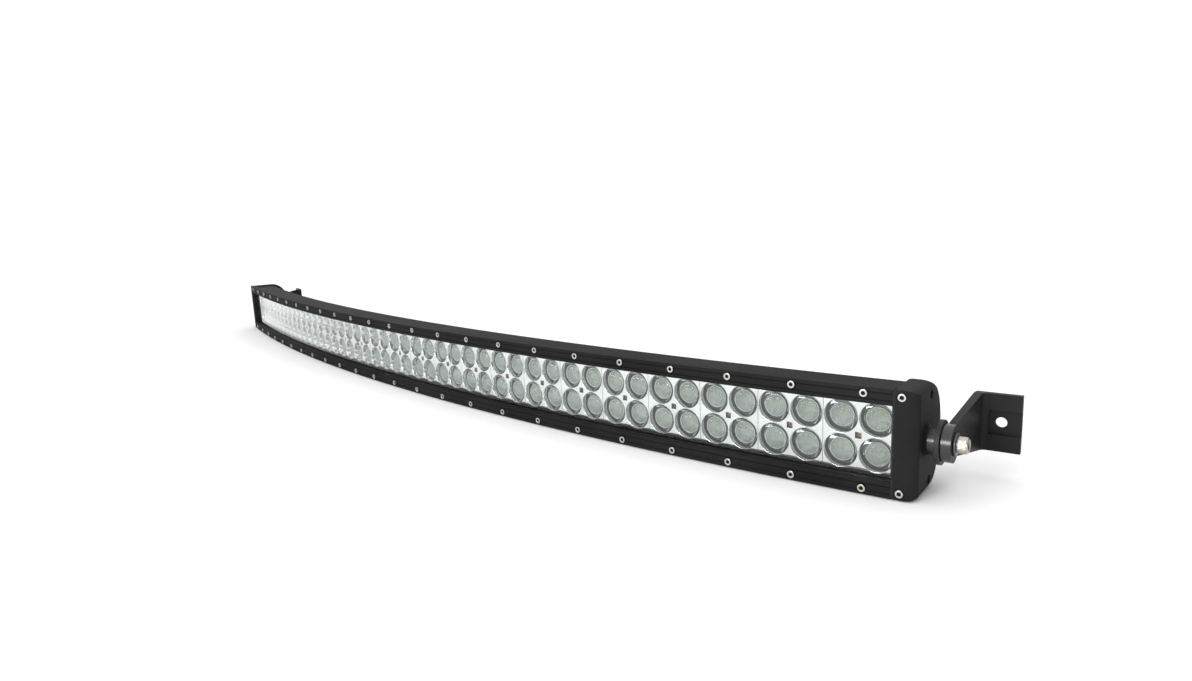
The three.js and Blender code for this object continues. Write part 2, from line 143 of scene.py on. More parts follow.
def loft(bm, rings, closed=False, surface=0):
    """A skin over rings of equally many points. Its two ends are capped, or joined when closed."""
    loops = [[bm.verts.new(point) for point in ring] for ring in rings]
    faces = skin(bm, loops + loops[:1] if closed else loops)
    if not closed:
        faces.append(bm.faces.new(reversed(loops[0])))
        faces.append(bm.faces.new(loops[-1]))
    for face in faces:
        face.material_index = surface
    return faces


def circle(radius):
    return lambda angle: radius


def hexagon(flat):
    """An outline with six flats, each this far from the middle."""
    sixth = math.pi / 3
    return lambda angle: flat / math.cos((angle + sixth / 2) % sixth - sixth / 2)


def knurl(radius, depth, ridges):
    """An outline with shallow ridges all round."""
    return lambda angle: radius - depth * (0.5 - 0.5 * math.cos(angle * ridges))


def turned(bm, sections, segments=24, place=HERE, closed=False, surface=0):
    """A piece on the depth axis from sections: (outline, depth)."""
    angles = [2 * math.pi * i / segments for i in range(segments)]
    rings = [
        [
            place @ Vector((outline(a) * math.cos(a), depth, outline(a) * math.sin(a)))
            for a in angles
        ]
        for outline, depth in sections
    ]
    return loft(bm, rings, closed, surface)


def swept(bm, outline):
    """A (depth, height) outline carried along the bar's arc."""
    rings = []
    for i in range(BAR_STEPS + 1):
        distance = -BAR_HALF + 2 * BAR_HALF * i / BAR_STEPS
        rings.append([on_arc(distance, depth, height) for depth, height in outline])
    loft(bm, rings)


def to_mesh(name, bm):
    """A mesh with its faces pointing out."""
    bmesh.ops.recalc_face_normals(bm, faces=bm.faces)
    mesh = bpy.data.meshes.new(name)
    bm.to_mesh(mesh)
    bm.free()
    return mesh


def to_object(name, bm):
    """A loose object in millimetres."""
    return linked(name, to_mesh(name, bm))


def linked(name, data):
    thing = bpy.data.objects.new(name, data)
    scene.collection.objects.link(thing)
    return thing


def combine(thing, tool, operation="DIFFERENCE"):
    """Cuts, joins or intersects an object with a tool, which is used up."""
    modifier = thing.modifiers.new("combine", "BOOLEAN")
    modifier.operation = operation
    modifier.solver = "EXACT"
    modifier.object = tool
    graph = bpy.context.evaluated_depsgraph_get()
    mesh = bpy.data.meshes.new_from_object(thing.evaluated_get(graph))
    thing.modifiers.clear()
    thing.data = mesh
    bpy.data.objects.remove(tool)
    return thing


def rounded(thing, width, segments):
    """Welds an object's mesh and rounds the edges that turn sharply."""
    bm = bmesh.new()
    bm.from_mesh(thing.data)
    bmesh.ops.remove_doubles(bm, verts=bm.verts, dist=WELD)
    bmesh.ops.dissolve_limit(
        bm, angle_limit=math.radians(FLAT_ANGLE), verts=bm.verts, edges=bm.edges
    )
    sharp = [edge for edge in bm.edges if len(edge.link_faces) == 2]
    sharp = [edge for edge in sharp if edge.calc_face_angle(0) > math.radians(SHARP_ANGLE)]
    bmesh.ops.bevel(
        bm, geom=sharp, offset=width, segments=segments, profile=0.5, affect="EDGES",
        clamp_overlap=True,
    )
    bm.to_mesh(thing.data)
    bm.free()


def mark_round(thing, radius, start, stop):
    """Gives the second surface to faces that run round the pivot at a radius, between two outs."""
    for face in thing.data.polygons:
        out, depth, height = face.center
        away = math.hypot(depth - PIVOT_DEPTH, height)
        if start < out < stop and abs(away - radius) < 0.5 and abs(face.normal.x) < 0.3:
            face.material_index = 1
    return thing


def piece(thing, surfaces, body, nodes=(), smooth=35, place=TO_METRES):
    """Makes an object a finished piece: placed, smoothed, given its surfaces and its body."""
    thing.data.transform(place)
    if place.determinant() < 0:
        thing.data.flip_normals()
    marks = [face.material_index for face in thing.data.polygons]
    thing.data.materials.clear()
    for surface in surfaces:
        thing.data.materials.append(surface)
    thing.data.polygons.foreach_set("material_index", marks)
    thing.data.shade_smooth()
    thing.data.set_sharp_from_angle(angle=math.radians(smooth))
    weighted = thing.modifiers.new("weighted_normals", "WEIGHTED_NORMAL")
    weighted.keep_sharp = True
    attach(thing, body)
    if nodes:
        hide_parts(*nodes)
    return thing


# ---- Materials ----
MAP_SOCKETS = ("From Min", "From Max", "To Min", "To Max")
NOISE_SPAN = (0.3, 0.7)  # most of a noise's values lie between these


class Nodes:
    """A material's node tree, with short calls for the nodes used here."""

    def __init__(self, name):
        self.material = bpy.data.materials.new(name)
        self.material.use_nodes = True
        self.tree = self.material.node_tree
        self.shader = self.tree.nodes["Principled BSDF"]
        self.output = self.tree.nodes["Material Output"]
        self.place = self.add("ShaderNodeTexCoord").outputs["Object"]

    def add(self, kind, **settings):
        node = self.tree.nodes.new(kind)
        for key, value in settings.items():
            setattr(node, key, value)
        return node

    def link(self, source, socket):
        self.tree.links.new(source, socket)

    def set(self, **values):
        for key, value in values.items():
            self.shader.inputs[key.replace("_", " ")].default_value = value

    def noise(self, scale, stretch=(1, 1, 1), detail=2.0):
        mapping = self.add("ShaderNodeMapping")
        mapping.inputs["Scale"].default_value = stretch
        self.link(self.place, mapping.inputs["Vector"])
        noise = self.add("ShaderNodeTexNoise")
        noise.inputs["Scale"].default_value = scale
        noise.inputs["Detail"].default_value = detail
        self.link(mapping.outputs["Vector"], noise.inputs["Vector"])
        return noise.outputs["Fac"]

    def between(self, factor, low, high):
        node = self.add("ShaderNodeMapRange")
        for key, value in zip(MAP_SOCKETS, (*NOISE_SPAN, low, high)):
            node.inputs[key].default_value = value
        self.link(factor, node.inputs["Value"])
        return node.outputs["Result"]

    def maths(self, operation, value, second, third=0.0):
        node = self.add("ShaderNodeMath", operation=operation)
        node.inputs[1].default_value = second
        node.inputs[2].default_value = third
        self.link(value, node.inputs[0])
        return node.outputs["Value"]

    def colours(self, factor, low, high, span=NOISE_SPAN):
        ramp = self.add("ShaderNodeValToRGB")
        for element, where, colour in zip(ramp.color_ramp.elements, span, (low, high)):
            element.position = where
            element.color = (*colour, 1)
        self.link(factor, ramp.inputs["Fac"])
        return ramp.outputs["Color"]

    def bump(self, height, distance, strength=1.0, below=None):
        node = self.add("ShaderNodeBump")
        node.inputs["Distance"].default_value = distance
        node.inputs["Strength"].default_value = strength
        self.link(height, node.inputs["Height"])
        if below is not None:
            self.link(below, node.inputs["Normal"])
        self.link(node.outputs["Normal"], self.shader.inputs["Normal"])
        return node.outputs["Normal"]


def coated_black(name, grain, roughness, gloss, drawn=0.0):
    """Satin black powder coat, with faint lines along the bar where the metal was drawn."""
    n = Nodes(name)
    n.set(Specular_IOR_Level=gloss)
    patches = n.noise(14, detail=3)
    darker, lighter = [[share * tone for tone in BLACK] for share in (0.75, 1.25)]
    n.link(n.colours(patches, darker, lighter), n.shader.inputs["Base Color"])
    fine = n.noise(grain, detail=2)
    n.link(n.between(fine, roughness - 0.06, roughness + 0.08), n.shader.inputs["Roughness"])
    below = n.bump(fine, 0.00004, 0.35)
    if drawn:
        lines = n.noise(1, stretch=(3, 900, 900), detail=3)
        n.bump(lines, 0.00003, drawn, below)
    return n.material


def metal(name, tone, roughness):
    """Turned or plated metal with a fine grain."""
    n = Nodes(name)
    n.set(Metallic=1.0)
    marks = n.noise(900, detail=3)
    n.link(n.colours(marks, [0.82 * t for t in tone], tone), n.shader.inputs["Base Color"])
    n.link(n.between(marks, roughness, roughness + 0.08), n.shader.inputs["Roughness"])
    n.bump(marks, 0.00001, 0.3)
    return n.material


def plain(name, low, high, roughness, scale=300, gloss=0.5):
    """Moulded plastic, rubber or solder mask, with a faint mottle."""
    n = Nodes(name)
    n.set(Specular_IOR_Level=gloss)
    mottle = n.noise(scale, detail=3)
    n.link(n.colours(mottle, low, high), n.shader.inputs["Base Color"])
    n.link(n.between(mottle, roughness - 0.05, roughness + 0.07), n.shader.inputs["Roughness"])
    n.bump(mottle, 0.00002, 0.5)
    return n.material


def chrome_plating():
    """Vacuum metallising on moulded plastic: a mirror with a slight moulded ripple."""
    n = Nodes("reflector_chrome")
    n.set(Metallic=1.0)
    haze = n.noise(60, detail=3)
    n.link(n.colours(haze, (0.76, 0.77, 0.775), (0.84, 0.85, 0.855)), n.shader.inputs["Base Color"])
    n.link(n.between(haze, 0.03, 0.07), n.shader.inputs["Roughness"])
    n.bump(n.noise(220, detail=1), 0.00004, 0.4)
    return n.material


def clear_sheet():
    """Clear cover: what is behind it shows, and it mirrors more at a slant."""
    n = Nodes("clear_cover")
    n.tree.nodes.remove(n.shader)
    see = n.add("ShaderNodeBsdfTransparent")
    haze = n.noise(9, detail=2)
    n.link(n.colours(haze, (0.955, 0.965, 0.96), (0.975, 0.985, 0.98)), see.inputs["Color"])
    mirror = n.add("ShaderNodeBsdfGlossy")
    mirror.inputs["Color"].default_value = (1, 1, 1, 1)
    n.link(n.between(haze, 0.01, 0.03), mirror.inputs["Roughness"])
    facing = n.add("ShaderNodeLayerWeight").outputs["Facing"]
    steep = n.maths("POWER", facing, 5)
    mirrored = n.maths("MULTIPLY_ADD", steep, 0.96, 0.04)
    mix = n.add("ShaderNodeMixShader")
    n.link(mirrored, mix.inputs["Fac"])
    n.link(see.outputs["BSDF"], mix.inputs[1])
    n.link(mirror.outputs["BSDF"], mix.inputs[2])
    n.link(mix.outputs["Shader"], n.output.inputs["Surface"])
    return n.material


def optic_glass():
    """A pressed lens with fine upright ribs, partly frosted."""
    n = Nodes("optic_glass")
    n.set(Transmission_Weight=0.8, IOR=1.5)
    ribs = n.add("ShaderNodeTexWave", wave_type="BANDS", bands_direction="X", wave_profile="SIN")
    ribs.inputs["Scale"].default_value = 330
    n.link(n.place, ribs.inputs["Vector"])
    lines = ribs.outputs["Fac"]
    tint = n.colours(lines, (0.55, 0.62, 0.57), (0.88, 0.95, 0.90), (0.1, 0.9))
    n.link(tint, n.shader.inputs["Base Color"])
    haze = n.noise(150, detail=2)
    n.link(n.between(haze, 0.03, 0.09), n.shader.inputs["Roughness"])
    n.bump(lines, 0.0002, 0.8)
    return n.material


BLACK = (0.017, 0.017, 0.0172)
EXTRUSION = coated_black("black_extrusion", 1400, 0.5, 0.02, drawn=0.5)
CASTING = coated_black("black_casting", 1800, 0.5, 0.03)
BRACKET_COAT = coated_black("black_bracket", 1500, 0.45, 0.12)
TURNED_BLACK = coated_black("black_turned", 1500, 0.24, 0.6)
BLACK_OXIDE = metal("black_oxide", (0.16, 0.16, 0.165), 0.35)
CHROME = chrome_plating()
STAINLESS = metal("stainless", (0.60, 0.58, 0.54), 0.3)
# Painted shade: a near-black surface inside the screws' hexagon sockets, standing in for the shade in the
# recess.
SOCKET_PAINTED_SHADE = plain("socket_painted_shade", (0.006, 0.006, 0.005), (0.018, 0.016, 0.014), 0.6, gloss=0.2)
# Painted shade: dark brown on the floor set behind each module's pocket, so the pocket looks shaded.
POCKET_PAINTED_SHADE = plain("pocket_painted_shade", (0.012, 0.009, 0.006), (0.03, 0.022, 0.015), 0.6)
BOLT_STEEL = metal("bolt_steel", (0.50, 0.46, 0.40), 0.26)
BRASS = metal("brass_screw", (0.36, 0.25, 0.13), 0.35)
COVER = clear_sheet()
OPTIC = optic_glass()
OPTIC_COLLAR_DARK = plain("optic_collar", (0.035, 0.036, 0.04), (0.07, 0.072, 0.078), 0.35)
# Painted highlight: a pale surface on each optic collar's front lip, standing in for the bright rim round
# each lens.
OPTIC_RIM_PAINTED_HIGHLIGHT = plain("optic_rim_painted_highlight", (0.62, 0.66, 0.64), (0.8, 0.84, 0.82), 0.2, gloss=0.8)
RUBBER = plain("rubber", (0.012, 0.012, 0.012), (0.03, 0.03, 0.03), 0.85, gloss=0.2)
MASK_WHITE = plain("solder_mask_white", (0.66, 0.67, 0.64), (0.76, 0.77, 0.74), 0.4)
MASK_GREEN = plain("solder_mask_green", (0.015, 0.08, 0.03), (0.03, 0.13, 0.05), 0.4)
NYLON = plain("black_nylon", (0.012, 0.012, 0.013), (0.026, 0.026, 0.028), 0.5, gloss=0.35)
PACKAGE = plain("led_package", (0.72, 0.72, 0.68), (0.82, 0.82, 0.78), 0.35)
PHOSPHOR = plain("led_phosphor", (0.78, 0.66, 0.16), (0.88, 0.78, 0.28), 0.45, scale=1500)


# ---- Bezels ----
def bezel_outline(up):
    """(depth, height) points of a bezel: a flat rim, a sunk screw channel, a groove and a lip."""
    low, high, floor = CHANNEL_LOW, CHANNEL_HIGH, CHANNEL_DEPTH
    points = [
        (2.0, BEZEL_INNER), (1.5, BEZEL_INNER + 0.3), (0.5, low - 1.1), (0.4, low - 0.85),
        (0.5, low - 0.65), (1.5, low - 0.45), (1.5, low - 0.15), (floor + 0.1, low + 0.1),
        (floor, low + 0.3), (floor, high - 0.9),
        (floor + 0.45, high - 0.8), (floor + 0.45, high - 0.5),
        (floor - 0.2, high - 0.3), (0.1, high - 0.08), (0, high + 0.05), (0, HALF_HEIGHT - 0.8),
        (0.25, HALF_HEIGHT - 0.3), (0.8, HALF_HEIGHT), (BEZEL_DEPTH - 0.3, HALF_HEIGHT),
        (BEZEL_DEPTH, HALF_HEIGHT - 0.3), (BEZEL_DEPTH, COVER_REBATE),
        (COVER_FRONT - GAP, COVER_REBATE), (COVER_FRONT - GAP, BEZEL_INNER),
    ]
    return [(depth, height * up) for depth, height in points]


def screw_places():
    return [(i - (SCREW_COUNT - 1) / 2) * SCREW_PITCH for i in range(SCREW_COUNT)]


def make_bezel(name, up):
    """A strip bent with the bar, with a counterbore for each of its screws."""
    bm = bmesh.new()
    swept(bm, bezel_outline(up))
    bezel = to_object(name, bm)
    seats = bmesh.new()
    for distance in screw_places():
        spot = along(distance) @ Matrix.Translation((0, 0, SCREW_HEIGHT * up))
        turned(seats, [(circle(SCREW_SEAT), -1), (circle(SCREW_SEAT), SCREW_SEAT_DEPTH)], 32, spot)
    return combine(bezel, to_object("seats", seats))


for name, up in (("top_bezel", 1), ("bottom_bezel", -1)):
    piece(make_bezel(name + "_strip", up), [EXTRUSION], "lamp", [name])


def socket_screw(bm, place, head, length, flat, sink, edge=0.35):
    """A socket-head screw's head on the depth axis, its top at 0 and facing the front."""
    sections = [
        (circle(head - 0.2), length), (circle(head), length - 0.2), (circle(head), edge),
        (circle(head - 0.3 * edge), 0.3 * edge), (circle(head - edge), 0),
        (circle(flat * 1.24), 0), (circle(flat * 1.16), 0.12),
    ]
    sections += [(hexagon(flat), 0.2), (hexagon(flat), sink)]
    paint_socket_shade(turned(bm, sections, place=place), 24)


def paint_socket_shade(faces, segments):
    """Gives a head's hexagon socket, the last of its sections, the near-black surface of painted shade.
    """
    for face in [faces[-1], *faces[-2 - segments:-2]]:
        face.material_index = 1


def make_bezel_screws(name, up):
    bm = bmesh.new()
    for i, distance in enumerate(screw_places()):
        spin = Matrix.Rotation(0.7 * i, 4, "Y")
        spot = along(distance) @ Matrix.Translation((0, -SCREW_STAND, SCREW_HEIGHT * up)) @ spin
        length = SCREW_SEAT_DEPTH + SCREW_STAND
        socket_screw(bm, spot, SCREW_HEAD, length, SCREW_SOCKET, SCREW_SOCKET_DEPTH)
    return to_object(name, bm)


for name, up in (("top_bezel_screws", 1), ("bottom_bezel_screws", -1)):
    piece(make_bezel_screws(name, up), [STAINLESS, SOCKET_PAINTED_SHADE], "lamp")


# ---- Cover ----
cover = bmesh.new()
swept(cover, [
    (COVER_FRONT, -COVER_HALF), (COVER_FRONT, COVER_HALF),
    (COVER_BACK, COVER_HALF), (COVER_BACK, -COVER_HALF),
])
piece(to_object("front_cover", cover), [COVER], "lamp", ["lens_cover"])


# ---- Reflector modules ----
def cup_radius(depth):
    """A parabola from the throat to the mouth."""
    rise = (CUP_MOUTH**2 - CUP_THROAT**2) / (MODULE_BACK - MODULE_FRONT)
    return math.sqrt(CUP_THROAT**2 + rise * (MODULE_BACK - depth))


def quarter_outline(inner):
    """Corners of a cup's quarter of the module, round the cup's middle."""
    width, height = MODULE_HALF_WIDTH, MODULE_HALF_HEIGHT
    corners = [(inner, 0), (width, 0), (width, height), (0, height), (0, inner), (inner, inner)]
    return [(x - CUP_OFFSET, z - CUP_OFFSET) for x, z in corners]


def plate_quarter(bm, radius, depth, flip_x, flip_z):
    """A flat quarter of a module, between its cup's rim and its own edges."""
    corners = quarter_outline(POCKET_HALF)
    marks = [(math.atan2(z, x) % (2 * math.pi), x, z) for x, z in corners]
    step = 2 * math.pi / CUP_SEGMENTS
    edge = [(i * step, *crossing(i * step, corners)) for i in range(CUP_SEGMENTS)]
    border = sorted(edge + marks)
    outer = [bm.verts.new(at_quarter(x, z, depth, flip_x, flip_z)) for _, x, z in border]
    rim = [bm.verts.new(point) for point in cup_ring(radius, depth, flip_x, flip_z)]
    for i in range(CUP_SEGMENTS):
        low, high = i * step, (i + 1) * step
        between = [v for v, (a, _, _) in zip(outer, border) if low - 1e-9 <= a <= high + 1e-9]
        if i == CUP_SEGMENTS - 1:
            between.append(outer[0])
        chain = between[:1]
        for before, vertex in zip(between, between[1:]):
            if (vertex.co - before.co).length > 1e-6:
                chain.append(vertex)
        bm.faces.new([rim[i], *chain, rim[(i + 1) % CUP_SEGMENTS]])


def cup_ring(radius, depth, flip_x, flip_z):
    """Points round a cup, in the quarter of the module that the flips choose."""
    angles = [2 * math.pi * i / CUP_SEGMENTS for i in range(CUP_SEGMENTS)]
    return [
        at_quarter(radius * math.cos(a), radius * math.sin(a), depth, flip_x, flip_z)
        for a in angles
    ]


def crossing(angle, corners):
    """Where a ray from the cup's middle leaves its quarter."""
    ray = Vector((math.cos(angle), math.sin(angle)))
    best = None
    for (ax, az), (bx, bz) in zip(corners, corners[1:] + corners[:1]):
        side = Vector((bx - ax, bz - az))
        cross = ray.x * side.y - ray.y * side.x
        if abs(cross) < 1e-12:
            continue
        away = (ax * side.y - az * side.x) / cross
        share = (ax * ray.y - az * ray.x) / cross
        if away > 0 and -1e-9 <= share <= 1 + 1e-9 and (best is None or away < best):
            best = away
    return ray.x * best, ray.y * best


def at_quarter(x, z, depth, flip_x, flip_z):
    return Vector((flip_x * (x + CUP_OFFSET), depth, flip_z * (z + CUP_OFFSET)))


def module_mesh():
    """One reflector module: a block with four parabolic cups and a screw pocket."""
    bm = bmesh.new()
    mouth = MODULE_FRONT + CUP_LIP
    bowl = [mouth + (MODULE_BACK - mouth) * i / CUP_RINGS for i in range(CUP_RINGS + 1)]
    sections = [(CUP_MOUTH + CUP_LIP, MODULE_FRONT), (CUP_MOUTH + 0.07, MODULE_FRONT + 0.08)]
    sections += [(cup_radius(depth), depth) for depth in bowl]
    for flip_x in (-1, 1):
        for flip_z in (-1, 1):
            plate_quarter(bm, CUP_MOUTH + CUP_LIP, MODULE_FRONT, flip_x, flip_z)
            plate_quarter(bm, CUP_THROAT, MODULE_BACK, flip_x, flip_z)
            open_skin(bm, [cup_ring(*section, flip_x, flip_z) for section in sections])
    for reach_x, reach_z in ((MODULE_HALF_WIDTH, MODULE_HALF_HEIGHT), (POCKET_HALF, POCKET_HALF)):
        walls(bm, reach_x, reach_z)
    bmesh.ops.remove_doubles(bm, verts=bm.verts, dist=0.0005)
    return to_mesh("module", bm)


def open_skin(bm, rings):
    """A skin over rings of points, with both ends left open."""
    skin(bm, [[bm.verts.new(point) for point in ring] for ring in rings])


def walls(bm, reach_x, reach_z):
    """The walls round the outside or the pocket of a module, from its front to its back."""
    rings = []
    for depth in (MODULE_FRONT, MODULE_BACK):
        level = [v.co for v in bm.verts if abs(v.co.y - depth) < 1e-4]
        edge = {(round(p.x, 4), round(p.z, 4)) for p in level if on_rectangle(p, reach_x, reach_z)}
        edge = sorted(edge, key=lambda p: math.atan2(p[1], p[0]))
        rings.append([Vector((x, depth, z)) for x, z in edge])
    if len(rings[0]) != len(rings[1]):
        raise ValueError("a module's front and back edges differ")
    open_skin(bm, rings)


def on_rectangle(point, reach_x, reach_z):
    x, z = abs(point.x), abs(point.z)
    on_side = abs(x - reach_x) < 1e-3 and z < reach_z + 1e-3
    on_top = abs(z - reach_z) < 1e-3 and x < reach_x + 1e-3
    return on_side or on_top


def module_places():
    return [along((i - (MODULE_COUNT - 1) / 2) * MODULE_PITCH) for i in range(MODULE_COUNT)]


def repeated(name, mesh, places):
    """One object with a copy of a mesh at each place."""
    bm = bmesh.new()
    for place in places:
        start = len(bm.verts)
        bm.from_mesh(mesh)
        bm.verts.ensure_lookup_table()
        bmesh.ops.transform(bm, matrix=place, verts=bm.verts[start:])
    made = bpy.data.meshes.new(name)
    bm.to_mesh(made)
    bm.free()
    return linked(name, made)


piece(
    repeated("reflector_modules", module_mesh(), module_places()), [CHROME], "lamp",
    [f"reflector_{i + 1:02d}" for i in range(MODULE_COUNT)], smooth=40,
)


def cup_places():
    return [
        place @ Matrix.Translation((x, 0, z))
        for place in module_places()
        for x in (-CUP_OFFSET, CUP_OFFSET)
        for z in (-CUP_OFFSET, CUP_OFFSET)
    ]


def optic_mesh():
    """A pressed lens that narrows to its emitter, in a dark collar whose front lip is painted pale as a
    rim highlight.
    """
    bm = bmesh.new()
    inner = OPTIC_RADIUS - 0.55
    collar_back = OPTIC_RIM + OPTIC_COLLAR
    sections = [(circle(OPTIC_STEM), OPTIC_BACK), (circle(inner - 0.4), collar_back - 0.2)]
    sections += [(circle(inner), collar_back - 0.6), (circle(inner), OPTIC_RIM + 0.2)]
    for tilt in (80, 65, 50, 35, 20, 8):
        turn = math.radians(tilt)
        depth = OPTIC_RIM - (OPTIC_RIM - OPTIC_TOP) * math.cos(turn)
        sections.append((circle((inner - 0.15) * math.sin(turn)), depth))
    turned(bm, sections, 32)
    collar = turned(bm, [
        (circle(inner + 0.03), OPTIC_RIM + 0.2), (circle(inner + 0.2), OPTIC_RIM - 0.1),
        (circle(OPTIC_RADIUS - 0.15), OPTIC_RIM - 0.1), (circle(OPTIC_RADIUS), OPTIC_RIM + 0.25),
        (circle(OPTIC_RADIUS), collar_back), (circle(inner + 0.03), collar_back),
    ], 32, closed=True, surface=1)
    # The collar's front lip gets the painted rim highlight.
    for face in collar[:32 * 3]:
        face.material_index = 2
    return to_mesh("optic", bm)


piece(
    repeated("cup_optics", optic_mesh(), cup_places()), [OPTIC, OPTIC_COLLAR_DARK, OPTIC_RIM_PAINTED_HIGHLIGHT],
    "lamp", smooth=50,
)


def square(half):
    """A square outline with rounded corners, a hair inside its half width."""
    power = 8

    def reach(angle):
        x, z = abs(math.cos(angle)), abs(math.sin(angle))
        return 0.993 * half / (x**power + z**power) ** (1 / power)

    return reach


def emitter_mesh():
    bm = bmesh.new()
    front = BOARD_FRONT
    turned(bm, [(square(2.6), front), (square(2.6), front - 0.6), (square(2.4), front - 0.75)])
    turned(bm, [(circle(1.9), front - 0.7), (circle(1.8), front - 1.0), (circle(1.3), front - 1.5),
                (circle(0.5), front - 1.8)], surface=1)
    return to_mesh("emitter", bm)


piece(repeated("led_emitters", emitter_mesh(), cup_places()), [PACKAGE, PHOSPHOR], "lamp")


def module_screw_mesh():
    """The small screw in each module's middle pocket, over a dark floor that is painted shade."""
    bm = bmesh.new()
    spot = Matrix.Translation((0, MODULE_FRONT + MODULE_SCREW_SINK, 0))
    floor = square(POCKET_HALF - 0.02)
    # A floor behind the pocket, painted dark as the pocket's shade.
    turned(bm, [(floor, POCKET_FLOOR_BACK), (floor, POCKET_FLOOR)], surface=1)
    socket_screw(bm, spot, 1.5, 1.6, 0.75, 0.9, edge=0.3)
    return to_mesh("module_screw", bm)


piece(
    repeated("module_screws", module_screw_mesh(), module_places()), [BRASS, POCKET_PAINTED_SHADE],
    "lamp",
)


# ---- Housing ----
FIN_COUNT, FIN_PITCH, FIN_THICK = 9, 8.7, 2.4
FIN_CENTRE, FIN_REACH, FIN_HALF = 36, 24, 36.05
HOUSING_FRONT, SEAT_BACK, SEAT_HALF = 9.3, 10.6, 31.2
CAVITY_HALF, CAVITY_FLOOR = 27.6, 29.2
VALLEY_BACK, CHAMBER_WALL_BACK = 33.2, 47.5
SPOT_FACE_RADIUS, SPOT_FACE_FROM, SPOT_FACE_TO = 12, 47.2, 75
GLAND_AT, VENT_AT = 0, -60


def fin_tip(height):
    """How far back a fin reaches: the tips lie on half an ellipse."""
    return FIN_CENTRE + FIN_REACH * math.sqrt(1 - (height / FIN_HALF) ** 2)


def housing_outline():
    """(depth, height) points: a channel for the light engine in front, fins behind."""
    front = [
        (CAVITY_FLOOR, CAVITY_HALF), (SEAT_BACK, CAVITY_HALF), (SEAT_BACK, SEAT_HALF),
        (HOUSING_FRONT, SEAT_HALF), (HOUSING_FRONT, 35.7), (HOUSING_FRONT + 0.3, 36),
    ]
    highest = (FIN_COUNT - 1) // 2
    fins = []
    ease = 0.7
    for fin in range(highest, -highest - 1, -1):
        top = fin * FIN_PITCH + FIN_THICK / 2
        bottom = top - FIN_THICK
        tip = fin_tip(max(abs(top), abs(bottom)))
        above = CHAMBER_WALL_BACK if fin in (0, -1) else VALLEY_BACK
        below = CHAMBER_WALL_BACK if fin in (0, 1) else VALLEY_BACK
        if fin < highest:
            fins += [(above + 0.6, top + 0.15), (above + 1.2, top)]
        fins += [(tip - ease, top), (tip - 0.2, top - 0.3), (tip, top - ease)]
        fins += [(tip, bottom + ease), (tip - 0.2, bottom + 0.3), (tip - ease, bottom)]
        if fin > -highest:
            fins += [(below + 1.2, bottom), (below + 0.6, bottom - 0.15)]
            fins += [(below, bottom - 0.75), (below, bottom - FIN_PITCH + FIN_THICK + 0.75)]
    return front + fins + [(depth, -height) for depth, height in reversed(front)]


def make_housing():
    bm = bmesh.new()
    swept(bm, housing_outline())
    housing = to_object("finned_housing", bm)
    cutters = bmesh.new()
    for distance in (GLAND_AT, VENT_AT):
        turned(
            cutters,
            [(circle(SPOT_FACE_RADIUS), depth) for depth in (SPOT_FACE_FROM, SPOT_FACE_TO)],
            40, along(distance),
        )
    return combine(housing, to_object("spot_faces", cutters))


piece(make_housing(), [EXTRUSION], "lamp", ["housing"])


# ---- End caps ----
CAP_INNER, CAP_OUTER = 1.4, 17
CAP_CENTRE, CAP_REACH = 36, 26
CAP_CORNER = 1.6
CAP_DEPTH = CAP_CENTRE + CAP_REACH
CAP_DOME = [  # (out, inset): how the cap's outer face draws in as it rises
    (7.5, 0), (9.5, 0.12), (11.5, 0.4), (13, 0.8), (14.3, 1.3), (15.4, 1.95), (16.2, 2.6),
    (16.7, 3.2), (16.95, 3.9), (CAP_OUTER, 4.8),
]
GASKET_INSET, GASKET_WALL, GASKET_OUT = 0.3, 3.5, 0.05
BOSS_RADIUS, BOSS_OUT = 9.5, 24
CORNER_SCREW_OUT, CORNER_SCREW_HEIGHT = 5.6, 33.4
SIDE_SCREW_DEPTH, SIDE_SCREW_HEIGHT, SIDE_SCREW_OUT = 30, 30.5, 15.6
SIDE_SEAT_FLOOR = 13.2
CAP_SCREW_LENGTH = 2.4


def cap_outline(inset):
    """(depth, height) points of the cap seen along the bar, drawn in by an inset."""
    half = HALF_HEIGHT - inset
    corner = CAP_CORNER
    points = []
    for i in range(7):
        turn = math.radians(90 * i / 6)
        points.append((inset + corner - corner * math.cos(turn), half - corner + corner * math.sin(turn)))
    for i in range(1, 6):
        points.append((inset + corner + (CAP_CENTRE - inset - corner) * i / 6, half))
    for i in range(41):
        turn = math.radians(90 - 180 * i / 40)
        points.append((CAP_CENTRE + (CAP_REACH - inset) * math.cos(turn), half * math.sin(turn)))
    return points + [(d, -h) for d, h in reversed(points[:12])]


